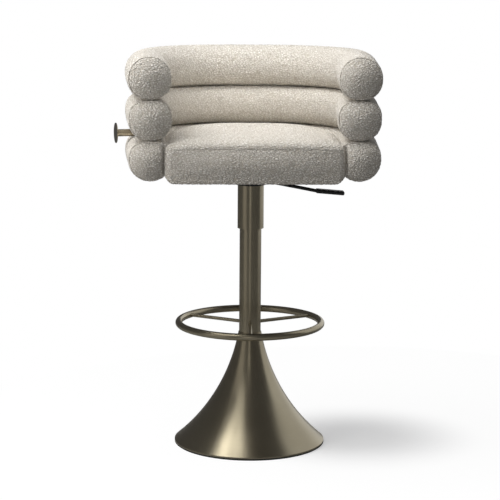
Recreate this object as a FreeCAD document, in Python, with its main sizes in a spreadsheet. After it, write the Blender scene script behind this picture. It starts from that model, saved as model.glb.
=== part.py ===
"""Swivelling, height-adjustable bar stool with a round footrest.

Millimetres, +Z up. The origin is on the floor, on the column's axis, and the sitter faces -Y.
A spun trumpet base carries a fixed column with the footrest ring. A gas spring stands in the
column, and the upholstered tub seat, built on a bent-tube frame, is clamped to its top.
"""
import FreeCAD, Part
import os
import re
import Sketcher

V = FreeCAD.Vector
doc = FreeCAD.newDocument("BarStool")

# ---------------------------------------------------------------- driving dimensions
SIZES = [
    # clearances
    ("neck_gap", 0.2, "skirt neck to column"),
    ("thread_gap", 0.05, "screw to its hole"),
    ("running_gap", 0.05, "shaft to its bush, on radius"),
    ("foam_gap", 0.3, "foam and cover to what they enclose"),
    ("ring_gap", 0.3, "sleeve guide ring to column, on radius"),
    # base
    ("rim_radius", 174.0, "outer radius of the spun base"),
    ("floor_pad_height", 2.0, "rubber pad glued under the base"),
    ("floor_pad_inset", 3.0, "rubber pad inside the rim"),
    ("ballast_lip_inset", 0.2, "ballast's edge inside the rim"),
    ("ballast_lip", 2.5, "thin outer lip of the ballast, which carries the skirt"),
    ("ballast_inset", 24.0, "thick part of the ballast inside the rim"),
    ("ballast_height", 14.5, "thick part above the lip"),
    ("skirt_wall", 1.2, "sheet thickness of the spun skirt"),
    ("neck_drop", 21.0, "top of the skirt below the footrest"),
    ("skirt_flare_radius", 430.0, "radius of the trumpet curve"),
    ("skirt_edge", 2.5, "short upright edge at the rim"),
    # column
    ("column_radius", 25.0, "outside radius of the column tube"),
    ("column_wall", 2.0, "wall of the column tube"),
    ("flange_width", 30.0, "welded foot flange outside the column"),
    ("flange_thickness", 6.0, ""),
    ("flange_bolt_out", 15.0, "foot bolts outside the column"),
    ("flange_bolt_radius", 4.0, "M8 foot bolts"),
    ("flange_bolt_depth", 11.0, "thread length in the ballast"),
    ("flange_bolt_head", 6.5, "radius of the bolt head"),
    ("bearing_lift", 7.0, "bearing plate above the ballast"),
    ("bearing_plate_thickness", 4.0, ""),
    ("thrust_bearing_radius", 11.0, ""),
    ("thrust_bearing_height", 4.0, ""),
    ("bush_length", 58.0, "plastic guide bush pressed into the column"),
    ("bush_recess", 30.0, "bush below the column's end, room for the hub when the seat is low"),
    # footrest
    ("footrest_radius", 164.5, "centreline of the footrest ring"),
    ("footrest_tube", 8.0, "radius of the ring's tube"),
    ("footrest_height", 283.0, "height of the ring's centreline"),
    ("spoke_radius", 4.0, "radius of the three rods"),
    ("footrest_turn", 1.4, "turn of the front rod from straight ahead, degrees"),
    # gas spring
    ("rod_radius", 5.0, "piston rod"),
    ("rod_reach", 70.0, "top of the piston rod above the cylinder's lower end"),
    ("clip_radius", 9.0, "retaining clip under the bearing plate"),
    ("clip_thickness", 1.5, ""),
    ("clip_land", 2.0, "rod beyond its clip, and beyond its piston"),
    ("bearing_gap", 0.1, "play of the rod's washer on its bearing"),
    ("washer_thickness", 2.0, ""),
    ("bump_height", 24.0, "rubber bump stop round the rod's foot"),
    ("cylinder_radius", 14.0, "gas cylinder"),
    ("cylinder_wall", 1.5, ""),
    ("cylinder_length", 279.0, ""),
    ("cylinder_head", 9.0, "solid top of the cylinder"),
    ("taper_length", 34.0, "tapered top of the cylinder"),
    ("taper_stand", 2.0, "cylinder's top above the floor of the pan"),
    ("taper_drop", 0.8, "loss of radius along the taper"),
    ("seal_height", 15.0, "end seal of the cylinder"),
    ("piston_height", 10.0, ""),
    ("valve_radius", 2.5, "release pin"),
    ("valve_stem", 19.0, "length of the release pin below the cylinder's top"),
    ("lever_gap", 0.1, "release pin to the lever above it"),
    # sleeve and seat plate
    ("sleeve_wall", 1.5, ""),
    ("sleeve_length", 100.5, "sliding sleeve below the pan"),
    ("sleeve_overlap", 25.0, "sleeve over the column's end"),
    ("guide_ring_wall", 3.2, "plastic ring between the column and the sleeve"),
    ("guide_ring_height", 8.0, "the ring stands inside the sleeve's lower edge"),
    ("pan_depth", 30.8, "seat plate's pan below its flange"),
    ("pan_floor", 2.0, ""),
    ("pan_lip", 4.0, "pan outside the sleeve"),
    ("pan_wall", 2.5, ""),
    ("hub_wall", 4.0, "taper hub outside the cylinder"),
    ("hub_length", 30.0, "hub below the pan"),
    ("plate_width", 46.0, "seat plate's flange outside the pan"),
    ("plate_thickness", 3.0, ""),
    ("plate_bolt_out", 28.5, "seat bolts outside the pan"),
    ("plate_bolt_radius", 3.0, "M6 seat bolts"),
    ("plate_bolt_head", 5.0, ""),
    ("plate_bolt_head_height", 4.0, ""),
    ("nut_radius", 9.0, "flange of the tee nuts"),
    ("nut_flange", 1.2, ""),
    ("nut_barrel", 4.0, "radius of the tee nut's barrel"),
    ("nut_depth", 9.0, ""),
    # lever
    ("lever_radius", 4.0, "lever rod"),
    ("lever_slope", 11.0, "fall of the rod towards the grip, degrees"),
    ("pivot_inset", 12.0, "pivot pin inside the pan's outer face"),
    ("lever_pivot_rise", 10.2, "pivot pin above the pan's bottom"),
    ("tail_past_pin", 5.5, "rod past the column's axis"),
    ("lever_reach", 129.0, "rod from the pivot to its bend"),
    ("grip_slope", 4.7, "fall of the grip, degrees"),
    ("grip_length", 66.0, ""),
    ("grip_width", 26.0, ""),
    ("grip_height", 9.0, ""),
    ("grip_round", 3.5, ""),
    ("pin_radius", 2.0, "lever's pivot pin"),
    ("ear_spacing", 5.3, "inner face of each ear from the middle"),
    ("ear_thickness", 2.0, ""),
    ("ear_half_length", 6.0, ""),
    ("slot_margin", 1.0, "lever slot wider than the rod, each side"),
    # seat board and cushion
    ("board_thickness", 15.0, "plywood seat board"),
    ("board_bottom", 640.0, "underside of the board above the floor"),
    ("board_tuck", 8.0, "board's edge under the bolster"),
    ("board_setback", 12.0, "front edge of the board behind the cushion's"),
    ("board_corner", 30.0, ""),
    ("cover_thickness", 1.2, "dust cover"),
    ("cover_inset", 2.0, "dust cover inside the board's edge"),
    ("hem_drop", 4.0, "cushion's lower edge below the board"),
    ("crown_rise", 3.0, "cushion's top above the seam of the two lower bolsters"),
    ("cushion_tuck", 7.5, "cushion's sides into the room of the arms' bolsters"),
    ("cushion_overhang", 8.0, "front of the cushion beyond the bolsters"),
    ("cushion_room_depth", 2.0, "board's room open below the cushion"),
    ("cushion_corner", 32.0, "upright front corners"),
    ("cushion_round", 18.0, "top edge"),
    # tub back: three bolsters on one horseshoe line
    ("bolster_radius", 48.0, "bolster, before it is pressed flat on its neighbour"),
    ("bolster_press", 8.0, "how far two bolsters press into each other"),
    ("bolster_lift", 1.0, "lowest bolster above the board's underside"),
    ("bolster_end_round", 20.0, ""),
    ("slab_margin", 1.0, "pressing slab past a bolster's free side"),
    ("back_line", 172.0, "centreline of the back behind the axis"),
    ("back_flat", 38.0, "half of the straight stretch at the back"),
    ("corner_radius", 200.0, "centreline radius of the back corners"),
    ("toe_in", 3.1, "arms closing towards the front, degrees"),
    ("arm_length", 193.5, "straight stretch of an arm"),
    ("end_foam", 20.0, "foam in front of the end boards"),
    # frame of the tub back
    ("core_radius", 12.5, "bent steel tube inside each bolster"),
    ("core_wall", 2.0, ""),
    ("bore_past_end", 1.0, "core tube's bore drawn past its end"),
    ("end_board_inset", 10.0, "round end board inside the bolster's outside"),
    ("end_board_thickness", 12.0, ""),
    ("plug_length", 10.0, "threaded plug in the tube's end"),
    ("end_screw_radius", 3.0, ""),
    ("end_screw_head", 6.0, ""),
    ("end_screw_head_height", 3.0, ""),
    ("end_screw_length", 20.0, ""),
    ("upright_radius", 7.0, ""),
    ("upright_on_arm", 46.0, "arm uprights from the arm's start"),
    ("upright_corner_angle", 45.0, "corner uprights round the bend, degrees"),
    ("bracket_width", 30.0, ""),
    ("bracket_thickness", 5.0, ""),
    ("bracket_length", 85.0, ""),
    ("bracket_rear_on_arm", 12.0, "first pair of brackets from the arm's start"),
    ("bracket_behind_end", 36.5, "second pair of brackets behind the end boards"),
    ("wood_screw_radius", 2.2, ""),
    ("wood_screw_head", 4.5, ""),
    ("wood_screw_head_height", 2.5, ""),
    ("wood_screw_depth", 11.0, ""),
    ("wood_screw_edge", 9.0, "first screw from the strip's end"),
    ("wood_screw_spacing", 16.0, ""),
    # side peg
    ("peg_radius", 8.0, ""),
    ("peg_angle", 12.0, "peg turned forward from straight out, degrees"),
    ("peg_stand", 23.4, "disc's face outside the bolsters"),
    ("peg_disc_radius", 22.5, ""),
    ("peg_disc_thickness", 1.8, ""),
    ("peg_flare", 6.0, ""),
    ("peg_socket_wall", 3.0, "socket outside the peg"),
    ("peg_socket_length", 21.0, "from the upright's axis"),
    ("peg_stud_radius", 4.0, ""),
    ("peg_stud_length", 11.0, ""),
]

sheet = doc.addObject("Spreadsheet::Sheet", "Sizes")
for row, (alias, value, note) in enumerate(SIZES, start=1):
    sheet.set(f"A{row}", alias)
    sheet.set(f"B{row}", str(value))
    sheet.setAlias(f"B{row}", alias)
    sheet.set(f"C{row}", note)
doc.recompute()
ALIASES = {alias for alias, value, note in SIZES}


def expr(text):
    """Point each size's name in an expression at its cell in the sheet."""
    return re.sub(r"[a-z]\w*", lambda m: f"Sizes.{m[0]}" if m[0] in ALIASES else m[0], str(text))


def number(text):
    """The present value of an expression."""
    value = sheet.evalExpression(expr(text))
    return float(getattr(value, "Value", value))


# ---------------------------------------------------------------- worked-out places
SKIRT_BASE = "(floor_pad_height + ballast_lip)"
BALLAST_TOP = f"({SKIRT_BASE} + ballast_height)"
BALLAST_RADIUS = "(rim_radius - ballast_inset)"
SKIRT_NECK = "(footrest_height - neck_drop)"
COLUMN_BORE = "(column_radius - column_wall)"
FLANGE_RADIUS = "(column_radius + flange_width)"
FLANGE_BOLTS = "(column_radius + flange_bolt_out)"
PLATE_Z = f"({BALLAST_TOP} + bearing_lift)"
BEARING_Z = f"({PLATE_Z} + bearing_plate_thickness)"
WASHER_Z = f"({BEARING_Z} + thrust_bearing_height + bearing_gap)"
BUMP_Z = f"({WASHER_Z} + washer_thickness)"
COVER_Z = "(board_bottom - cover_thickness)"
FLANGE_Z = f"({COVER_Z} - plate_thickness)"
BOARD_TOP = "(board_bottom + board_thickness)"
PAN_BOTTOM = f"({FLANGE_Z} - pan_depth)"
PAN_INSIDE = f"({PAN_BOTTOM} + pan_floor)"
SLEEVE_BOTTOM = f"({PAN_BOTTOM} - sleeve_length)"
SLEEVE_BORE = "(column_radius + ring_gap + guide_ring_wall)"
SLEEVE_RADIUS = f"({SLEEVE_BORE} + sleeve_wall)"
COLUMN_TOP = f"({SLEEVE_BOTTOM} + sleeve_overlap)"
PAN_RADIUS = f"({SLEEVE_RADIUS} + pan_lip)"
PLATE_RADIUS = f"({PAN_RADIUS} + plate_width)"
PLATE_BOLTS = f"({PAN_RADIUS} + plate_bolt_out)"
HUB_RADIUS = "(cylinder_radius + hub_wall)"
CYLINDER_TOP = f"({PAN_INSIDE} + taper_stand)"
CYLINDER_BOTTOM = f"({CYLINDER_TOP} - cylinder_length)"
TAPER_Z = f"({CYLINDER_TOP} - taper_length)"
TAPER_RADIUS = "(cylinder_radius - taper_drop)"
CYLINDER_BORE = "(cylinder_radius - cylinder_wall)"
ROD_TOP = f"({CYLINDER_BOTTOM} + rod_reach)"
PIVOT_X = f"({PAN_RADIUS} - pivot_inset)"
PIVOT_Z = f"({PAN_BOTTOM} + lever_pivot_rise)"
LEVER_TAIL = f"({PIVOT_X} + tail_past_pin)"
LEVER_OVER_PIN = (f"({PIVOT_Z} + ({PIVOT_X} - valve_radius) * tan(lever_slope)"
                  " - lever_radius / cos(lever_slope))")
CORNER_Y = "(back_line - corner_radius)"
BOLSTER_PITCH = "(2 * bolster_radius - bolster_press)"
BOLSTER_FIRST = "(board_bottom + bolster_lift + bolster_radius)"
LEVELS = {
    "bottom": BOLSTER_FIRST,
    "middle": f"({BOLSTER_FIRST} + {BOLSTER_PITCH})",
    "top": f"({BOLSTER_FIRST} + 2 * {BOLSTER_PITCH})",
}
LOWER_SEAM = f"({BOLSTER_FIRST} + {BOLSTER_PITCH} / 2)"
ARM_TIP = f"(arm_length * cos(toe_in) + corner_radius * sin(toe_in) - {CORNER_Y})"
CORE_ARM = "(arm_length - end_foam - end_board_thickness)"
END_BOARD_RADIUS = "(bolster_radius - end_board_inset)"
BRACKET_FRONT = f"({CORE_ARM} - bracket_behind_end)"
CUSHION_BOTTOM = "(board_bottom - hem_drop)"
CUSHION_TOP = f"({LOWER_SEAM} + crown_rise)"
CUSHION_FRONT = f"({ARM_TIP} + cushion_overhang)"
BOARD_FRONT = f"({CUSHION_FRONT} - board_setback)"
BOARD_INSET = "(bolster_radius - board_tuck)"
PEG_LENGTH = "(bolster_radius + peg_stand)"
PEG_SOCKET_RADIUS = "(peg_radius + peg_socket_wall)"
WELL_OUT = 1000


# ---------------------------------------------------------------- building blocks
def bind(obj, **properties):
    for name, text in properties.items():
        obj.setExpression(name, expr(text))
    return obj


def place(obj, at=(0, 0, 0), yaw=0, pitch=0, roll=0):
    vector = "vector(" + "; ".join(str(value) for value in at) + ")"
    turn = f"rotation({yaw}; {pitch}; {roll})"
    obj.setExpression("Placement", expr(f"placement({vector}; {turn})"))
    return obj


def cylinder(name, radius, height, at=(0, 0, 0), **turn):
    obj = doc.addObject("Part::Cylinder", name)
    return place(bind(obj, Radius=radius, Height=height), at, **turn)


def box(name, length, width, height, at=(0, 0, 0), **turn):
    """A box centred on Y in its own frame, starting at x = 0 and z = 0."""
    obj = doc.addObject("Part::Box", name)
    bind(obj, Length=length, Width=width, Height=height)
    yaw = turn.get("yaw", 0)
    x, y, z = at
    side_x = f"({x}) + ({width}) / 2 * sin({yaw})"
    side_y = f"({y}) - ({width}) / 2 * cos({yaw})"
    return place(obj, (side_x, side_y, z), **turn)


def torus(name, radius, tube, at=(0, 0, 0), sweep=360, **turn):
    obj = doc.addObject("Part::Torus", name)
    return place(bind(obj, Radius1=radius, Radius2=tube, Angle3=sweep), at, **turn)


def fuse(name, *parts):
    obj = doc.addObject("Part::MultiFuse", name)
    obj.Shapes = list(parts)
    return obj


def cut(name, base, *tools):
    obj = doc.addObject("Part::Cut", name)
    obj.Base = base
    obj.Tool = tools[0] if len(tools) == 1 else fuse(f"{name}_tools", *tools)
    return obj


def common(name, *parts):
    obj = doc.addObject("Part::MultiCommon", name)
    obj.Shapes = list(parts)
    return obj


def outline(sketch, points, arcs):
    """A closed outline through points given as expressions, each vertex tied to the sheet.

    arcs maps the number of a segment to (radius, side): side is 1 where the arc turns left.
    """
    vertices = [V(number(x), number(y), 0) for x, y in points]
    starts, ends = [], []
    for index, start in enumerate(vertices):
        end = vertices[(index + 1) % len(vertices)]
        if index not in arcs:
            sketch.addGeometry(Part.LineSegment(start, end))
            starts.append(1)
            ends.append(2)
            continue
        radius, side = arcs[index]
        size = number(radius)
        half = (end - start) / 2
        left = V(-half.y, half.x, 0).normalize()
        centre = start + half + left * side * max(size ** 2 - half.Length ** 2, 0) ** 0.5
        first, last = (start, end) if side > 0 else (end, start)
        circle = Part.Circle(centre, V(0, 0, 1), size)
        sketch.addGeometry(Part.ArcOfCircle(circle, circle.parameter(first), circle.parameter(last)))
        starts.append(1 if side > 0 else 2)
        ends.append(2 if side > 0 else 1)
    count = len(points)
    for index, (x, y) in enumerate(points):
        after = (index + 1) % count
        sketch.addConstraint(Sketcher.Constraint("Coincident", index, ends[index], after, starts[after]))
    for index, (x, y) in enumerate(points):
        for kind, text, axis in (("DistanceX", x, -2), ("DistanceY", y, -1)):
            if str(text) == "0":
                sketch.addConstraint(Sketcher.Constraint("PointOnObject", index, starts[index], axis))
                continue
            rule = Sketcher.Constraint(kind, -1, 1, index, starts[index], number(text))
            item = sketch.addConstraint(rule)
            sketch.setExpression(f"Constraints[{item}]", expr(text))
    for index, (radius, side) in arcs.items():
        item = sketch.addConstraint(Sketcher.Constraint("Radius", index, number(radius)))
        sketch.setExpression(f"Constraints[{item}]", expr(radius))


def body_with_sketch(name, plane, points, arcs):
    body = doc.addObject("PartDesign::Body", name)
    sketch = body.newObject("Sketcher::SketchObject", f"{name}_sketch")
    support = next(item for item in body.Origin.OriginFeatures if item.Role == plane)
    sketch.AttachmentSupport = [(support, "")]
    sketch.MapMode = "FlatFace"
    outline(sketch, points, arcs)
    return body, sketch


def turned(name, points, arcs=None):
    """A body turned about Z from an outline of (radius, height) points."""
    body, sketch = body_with_sketch(name, "XZ_Plane", points, arcs or {})
    feature = body.newObject("PartDesign::Revolution", f"{name}_turn")
    feature.Profile = sketch
    feature.ReferenceAxis = (sketch, ["V_Axis"])
    feature.Angle = 360
    sketch.Visibility = False
    return body


def plate(name, points, arcs, thickness, bottom):
    """A flat body padded up from an outline of (x, y) points."""
    body, sketch = body_with_sketch(name, "XY_Plane", points, arcs)
    feature = body.newObject("PartDesign::Pad", f"{name}_pad")
    feature.Profile = sketch
    bind(feature, Length=thickness)
    place(body, (0, 0, bottom))
    return body


def ring(name, inner, outer, bottom, height):
    top = f"({bottom}) + ({height})"
    return turned(name, [(inner, bottom), (outer, bottom), (outer, top), (inner, top)])


def edges_where(shape, test):
    return [number for number, edge in enumerate(shape.Edges, start=1) if test(edge)]


def rounded(name, base, radius, test):
    """Fillet the edges of a Part object that pass a test."""
    doc.recompute()
    size = number(radius)
    obj = doc.addObject("Part::Fillet", name)
    obj.Base = base
    obj.Edges = [(index, size, size) for index in edges_where(base.Shape, test)]
    return obj


PARTS = {}


def node(name, obj):
    """Register a finished sub-part under its node name."""
    obj.Label = name
    PARTS[name] = obj
    return obj


# ---------------------------------------------------------------- the horseshoe line
def on_arm(side, along):
    """A place on an arm's centreline, from the end of the corner bend towards the front."""
    x = f"({side}) * (back_flat + corner_radius * cos(toe_in) - ({along}) * sin(toe_in))"
    y = f"({CORNER_Y} - corner_radius * sin(toe_in) - ({along}) * cos(toe_in))"
    return x, y


def along_arm(name, side, level, start, length, radius):
    """A round piece lying along an arm."""
    x, y = on_arm(side, start)
    return cylinder(name, radius, length, (x, y, level), yaw=f"-({side}) * toe_in", roll=90)


def horseshoe(name, radius, level, arm):
    """A round section carried along the arms, the bends and the back."""
    back = cylinder(f"{name}_back", radius, "2 * back_flat", ("-back_flat", "back_line", level), pitch=90)
    bends = [
        torus(f"{name}_bend_right", "corner_radius", radius, ("back_flat", CORNER_Y, level),
              "90 + toe_in", yaw="-toe_in"),
        torus(f"{name}_bend_left", "corner_radius", radius, ("-back_flat", CORNER_Y, level),
              "90 + toe_in", yaw=90),
    ]
    arms = [along_arm(f"{name}_arm{side}", side, level, 0, arm, radius) for side in (1, -1)]
    return fuse(name, back, *bends, *arms)


def horseshoe_plate(name, inset, front, bottom, thickness, corner="board_corner", toe="toe_in"):
    """A flat board inside the horseshoe line, square across the front, with rounded corners."""
    bend = f"(corner_radius - ({inset}))"
    side_x = f"(back_flat + {bend} * cos({toe}))"
    side_y = f"({CORNER_Y} - {bend} * sin({toe}))"
    front_x = f"({side_x} - (({front}) + {side_y}) * tan({toe}))"
    back_y = f"({CORNER_Y} + {bend})"
    points = [
        (f"-({front_x})", f"-({front})"), (front_x, f"-({front})"), (side_x, side_y),
        ("back_flat", back_y), ("-back_flat", back_y), (f"-({side_x})", side_y),
    ]
    body = plate(name, points, {2: (bend, 1), 4: (bend, 1)}, thickness, bottom)
    doc.recompute()
    front_line = -number(front)

    def upright_front(edge):
        return all(abs(v.Point.y - front_line) < 0.01 for v in edge.Vertexes) and \
            abs(edge.Vertexes[0].Point.z - edge.Vertexes[-1].Point.z) > 1

    feature = body.newObject("PartDesign::Fillet", f"{name}_corners")
    pad = body.getObject(f"{name}_pad")
    feature.Base = (pad, [f"Edge{index}" for index in edges_where(pad.Shape, upright_front)])
    bind(feature, Radius=corner)
    return body


# ---------------------------------------------------------------- base and column
def base_parts():
    node("floor_pad", cylinder("FloorPad", "rim_radius - floor_pad_inset", "floor_pad_height"))

    lip_radius = "rim_radius - ballast_lip_inset"
    ballast = turned("Ballast", [
        (0, "floor_pad_height"), (lip_radius, "floor_pad_height"), (lip_radius, SKIRT_BASE),
        (BALLAST_RADIUS, SKIRT_BASE), (BALLAST_RADIUS, BALLAST_TOP), (0, BALLAST_TOP)])
    bolt_holes = foot_bolts("BallastBolts", "thread_gap")
    node("ballast_disc", cut("BallastDrilled", ballast, bolt_holes))

    neck = "column_radius + neck_gap"
    edge_top = f"{SKIRT_BASE} + skirt_edge"
    node("base_skirt", turned("Skirt", [
        (neck, SKIRT_NECK), ("rim_radius - skirt_wall", edge_top),
        ("rim_radius - skirt_wall", SKIRT_BASE), ("rim_radius", SKIRT_BASE),
        ("rim_radius", f"{edge_top} + skirt_wall / 2"), (f"{neck} + skirt_wall", SKIRT_NECK)],
        {0: ("skirt_flare_radius + skirt_wall", 1), 4: ("skirt_flare_radius", -1)}))

    node("column_tube", ring("Column", COLUMN_BORE, "column_radius", BALLAST_TOP,
                             f"{COLUMN_TOP} - {BALLAST_TOP}"))
    flange = ring("Flange", "column_radius", FLANGE_RADIUS, BALLAST_TOP, "flange_thickness")
    node("column_flange", cut("FlangeDrilled", flange, foot_bolts("FlangeBolts", "thread_gap")))
    node("flange_bolts", foot_bolts("FootBolts", "0"))

    node("bearing_plate", ring("BearingPlate", "rod_radius + running_gap", COLUMN_BORE, PLATE_Z,
                               "bearing_plate_thickness"))
    node("thrust_bearing", ring("ThrustBearing", "rod_radius + running_gap", "thrust_bearing_radius",
                                BEARING_Z, "thrust_bearing_height"))
    node("guide_bush", ring("GuideBush", "cylinder_radius + running_gap", COLUMN_BORE,
                            f"{COLUMN_TOP} - bush_recess - bush_length", "bush_length"))


def foot_bolts(name, extra):
    """Four bolts through the flange into the ballast, or their holes, grown by extra."""
    bolts = []
    shank_bottom = f"{BALLAST_TOP} - flange_bolt_depth"
    head_z = f"{BALLAST_TOP} + flange_thickness"
    for index in range(4):
        angle = 45 + 90 * index
        at_x = f"{FLANGE_BOLTS} * cos({angle})"
        at_y = f"{FLANGE_BOLTS} * sin({angle})"
        bolts.append(cylinder(f"{name}_shank{index}", f"flange_bolt_radius + ({extra})",
                              "flange_bolt_depth + flange_thickness", (at_x, at_y, shank_bottom)))
        if extra == "0":
            bolts.append(cylinder(f"{name}_head{index}", "flange_bolt_head", "2 * flange_bolt_radius",
                                  (at_x, at_y, head_z)))
    return fuse(name, *bolts)


def footrest_parts():
    column = cylinder("SpokeSeat", "column_radius", COLUMN_TOP)
    rest = torus("FootrestRing", "footrest_radius", "footrest_tube", (0, 0, "footrest_height"))
    node("footrest_ring", rest)
    spokes = []
    for index in range(3):
        spokes.append(cylinder(f"Spoke{index}", "spoke_radius", "footrest_radius", (0, 0, "footrest_height"),
                               yaw=f"{-90 + 120 * index} - footrest_turn", pitch=90))
    seat = torus("SpokeRingSeat", "footrest_radius", "footrest_tube", (0, 0, "footrest_height"))
    node("footrest_spokes", cut("Spokes", fuse("SpokeRods", *spokes), column, seat))


# ---------------------------------------------------------------- gas spring
def gas_spring_parts():
    clip_z = f"{PLATE_Z} - bearing_gap - clip_thickness"
    rod_foot = f"{clip_z} - clip_land"
    node("piston_rod", cylinder("PistonRod", "rod_radius", f"{ROD_TOP} - ({rod_foot})", (0, 0, rod_foot)))
    node("rod_clip", ring("RodClip", "rod_radius", "clip_radius", clip_z, "clip_thickness"))
    node("rod_washer", ring("RodWasher", "rod_radius", "thrust_bearing_radius", WASHER_Z,
                            "washer_thickness"))
    node("bump_stop", ring("BumpStop", "rod_radius", "thrust_bearing_radius", BUMP_Z, "bump_height"))
    node("piston", ring("Piston", "rod_radius", f"{CYLINDER_BORE} - running_gap",
                        f"{ROD_TOP} - piston_height - clip_land", "piston_height"))

    valve_bore = "valve_radius + running_gap"
    node("gas_cylinder", turned("GasCylinder", [
        (CYLINDER_BORE, CYLINDER_BOTTOM), ("cylinder_radius", CYLINDER_BOTTOM),
        ("cylinder_radius", TAPER_Z), (TAPER_RADIUS, CYLINDER_TOP), (valve_bore, CYLINDER_TOP),
        (valve_bore, f"{CYLINDER_TOP} - cylinder_head"), (CYLINDER_BORE, f"{CYLINDER_TOP} - cylinder_head")]))
    node("cylinder_seal", ring("CylinderSeal", "rod_radius + running_gap", CYLINDER_BORE,
                               CYLINDER_BOTTOM, "seal_height"))
    pin_bottom = f"({CYLINDER_TOP} - valve_stem)"
    node("release_pin", cylinder("ReleasePin", "valve_radius", f"{LEVER_OVER_PIN} - lever_gap - {pin_bottom}",
                                 (0, 0, pin_bottom)))


# ---------------------------------------------------------------- sleeve, seat plate and lever
def seat_bolt_group(name, radius, bottom, height):
    group = []
    for index in range(4):
        angle = 45 + 90 * index
        at = (f"{PLATE_BOLTS} * cos({angle})", f"{PLATE_BOLTS} * sin({angle})", bottom)
        group.append(cylinder(f"{name}{index}", radius, height, at))
    return group


def seat_plate_parts():
    node("column_sleeve", ring("Sleeve", SLEEVE_BORE, SLEEVE_RADIUS,
                               SLEEVE_BOTTOM, f"{PAN_BOTTOM} - {SLEEVE_BOTTOM}"))
    node("sleeve_guide", ring("SleeveGuide", "column_radius + ring_gap", SLEEVE_BORE,
                              SLEEVE_BOTTOM, "guide_ring_height"))

    taper_rate = f"(cylinder_radius - {TAPER_RADIUS}) / taper_length"
    bore_top = f"{TAPER_RADIUS} + {taper_rate} * taper_stand"
    pan_inner = f"{PAN_RADIUS} - pan_wall"
    flange_top = f"{FLANGE_Z} + plate_thickness"
    hub_bottom = f"{PAN_BOTTOM} - hub_length"
    bore_bottom = f"{TAPER_RADIUS} + {taper_rate} * ({CYLINDER_TOP} - ({hub_bottom}))"
    pan = turned("SeatPlate", [
        (bore_bottom, hub_bottom), (HUB_RADIUS, hub_bottom), (HUB_RADIUS, PAN_BOTTOM),
        (PAN_RADIUS, PAN_BOTTOM), (PAN_RADIUS, FLANGE_Z), (PLATE_RADIUS, FLANGE_Z),
        (PLATE_RADIUS, flange_top), (pan_inner, flange_top), (pan_inner, PAN_INSIDE),
        (bore_top, PAN_INSIDE)])
    ears = []
    for side in (1, -1):
        centre_y = f"{side} * (ear_spacing + ear_thickness / 2)"
        ears.append(box(f"Ear{side}", "2 * ear_half_length", "ear_thickness",
                        f"{PIVOT_Z} + 2 * pin_radius - {PAN_INSIDE}",
                        (f"{PIVOT_X} - ear_half_length", centre_y, PAN_INSIDE)))
    slot = box("LeverSlot", "3 * pan_wall", "2 * (lever_radius + slot_margin)", "4 * lever_radius",
               (f"{PAN_RADIUS} - 2 * pan_wall", "0", PAN_INSIDE))
    pivot_hole = cylinder("PivotHole", "pin_radius", "4 * (ear_spacing + ear_thickness)",
                          (PIVOT_X, "2 * (ear_spacing + ear_thickness)", PIVOT_Z), roll=90)
    bolt_holes = seat_bolt_group("PlateHole", "plate_bolt_radius + thread_gap", FLANGE_Z, "plate_thickness")
    node("seat_plate", cut("SeatPlateDrilled", fuse("SeatPlateEars", pan, *ears), slot, pivot_hole,
                           *bolt_holes))
    node("lever_pin", cylinder("LeverPin", "pin_radius", "2 * (ear_spacing + ear_thickness)",
                               (PIVOT_X, "ear_spacing + ear_thickness", PIVOT_Z), roll=90))

    shanks = seat_bolt_group("SeatBolt", "plate_bolt_radius", FLANGE_Z, f"{BOARD_TOP} - {FLANGE_Z}")
    heads = seat_bolt_group("SeatBoltHead", "plate_bolt_head", f"{FLANGE_Z} - plate_bolt_head_height",
                            "plate_bolt_head_height")
    node("plate_bolts", fuse("PlateBolts", *shanks, *heads))


def lever_parts():
    rod_pitch = "90 + lever_slope"
    tail_x = f"{PIVOT_X} - {LEVER_TAIL} * cos(lever_slope)"
    tail_z = f"{PIVOT_Z} + {LEVER_TAIL} * sin(lever_slope)"
    bend_x = f"{PIVOT_X} + lever_reach * cos(lever_slope)"
    bend_z = f"{PIVOT_Z} - lever_reach * sin(lever_slope)"

    def rod(name, radius):
        knee = doc.addObject("Part::Sphere", f"{name}_knee")
        place(bind(knee, Radius=radius), (bend_x, 0, bend_z))
        return fuse(name, knee,
                    cylinder(f"{name}_long", radius, f"{LEVER_TAIL} + lever_reach", (tail_x, 0, tail_z),
                             pitch=rod_pitch),
                    cylinder(f"{name}_tip", radius, "grip_length - 2 * grip_round", (bend_x, 0, bend_z),
                             pitch="90 + grip_slope"))

    pivot = cylinder("LeverPivotHole", "pin_radius + running_gap", "4 * lever_radius",
                     (PIVOT_X, "2 * lever_radius", PIVOT_Z), roll=90)
    node("lever_rod", cut("LeverRod", rod("LeverBar", "lever_radius"), pivot))

    lift = "grip_height / 2"
    blank = box("GripBlank", "grip_length", "grip_width", "grip_height",
                (f"{bend_x} - {lift} * sin(grip_slope)", "0", f"{bend_z} - {lift} * cos(grip_slope)"),
                pitch="grip_slope")
    grip = rounded("GripRounded", blank, "grip_round", lambda edge: True)
    node("lever_grip", cut("Grip", grip, rod("GripBore", "lever_radius + thread_gap")))


# ---------------------------------------------------------------- frame of the tub back
def upright_places():
    places = [on_arm(side, "upright_on_arm") for side in (1, -1)]
    for side in (1, -1):
        x = f"{side} * (back_flat + corner_radius * cos(upright_corner_angle))"
        places.append((x, f"{CORNER_Y} + corner_radius * sin(upright_corner_angle)"))
    places.append(("0", "back_line"))
    return places


def uprights(name, radius):
    height = f"{LEVELS['top']} - {LEVELS['bottom']}"
    rods = [cylinder(f"{name}{index}", radius, height, (x, y, LEVELS["bottom"]))
            for index, (x, y) in enumerate(upright_places())]
    return fuse(name, *rods)


def bracket_places():
    """Each bracket's place on the bolster line and the direction out of the seat."""
    places = []
    for along in ("bracket_rear_on_arm", BRACKET_FRONT):
        places.append((*on_arm(1, along), "-toe_in"))
        places.append((*on_arm(-1, along), "180 + toe_in"))
    places.append(("0", "back_line", "90"))
    return places


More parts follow.
